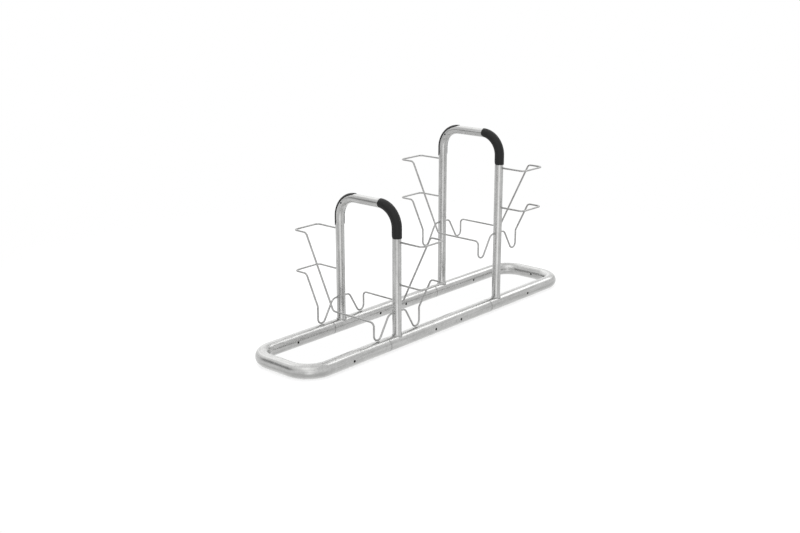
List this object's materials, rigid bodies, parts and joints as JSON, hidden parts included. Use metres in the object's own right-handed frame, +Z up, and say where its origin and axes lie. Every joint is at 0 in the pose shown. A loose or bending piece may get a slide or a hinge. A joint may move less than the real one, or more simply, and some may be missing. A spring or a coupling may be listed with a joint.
{
  "type": "two tier bike rack",
  "caption": "Free-standing bicycle rack: a tubular ring on the ground carries a low and a high hoop, each with wire wheel holders on both sides.",
  "frame": {"origin": "middle of the base ring, on the ground", "axes": "+X along the rails, from the low hoop to the high one; +Y from the near rail to the far one; +Z up"},
  "size_m": [2.238, 0.762, 1.05],
  "materials": {
    "galvanised_tube": "hot-dip galvanised steel tube, bright, with faint spangle and drawn lines",
    "galvanised_wire": "hot-dip galvanised round steel wire",
    "black_cover": "moulded black plastic, fine satin grain",
    "black_screw": "blackened steel screw"
  },
  "bodies": {
    "root": {"near_rail": "galvanised_tube", "far_rail": "galvanised_tube", "left_end_tube": "galvanised_tube", "right_end_tube": "galvanised_tube", "low_hoop": "galvanised_tube", "high_hoop": "galvanised_tube", "low_left_long_wire": "galvanised_wire", "low_left_short_wire": "galvanised_wire", "low_right_long_wire": "galvanised_wire", "low_right_short_wire": "galvanised_wire", "high_left_long_wire": "galvanised_wire", "high_left_short_wire": "galvanised_wire", "high_right_long_wire": "galvanised_wire", "high_right_short_wire": "galvanised_wire", "low_near_cover": "black_cover", "low_far_cover": "black_cover", "high_near_cover": "black_cover", "high_far_cover": "black_cover", "low_near_screw": "black_screw", "low_far_screw": "black_screw", "high_near_screw": "black_screw", "high_far_screw": "black_screw"}
  },
  "joints": []
}
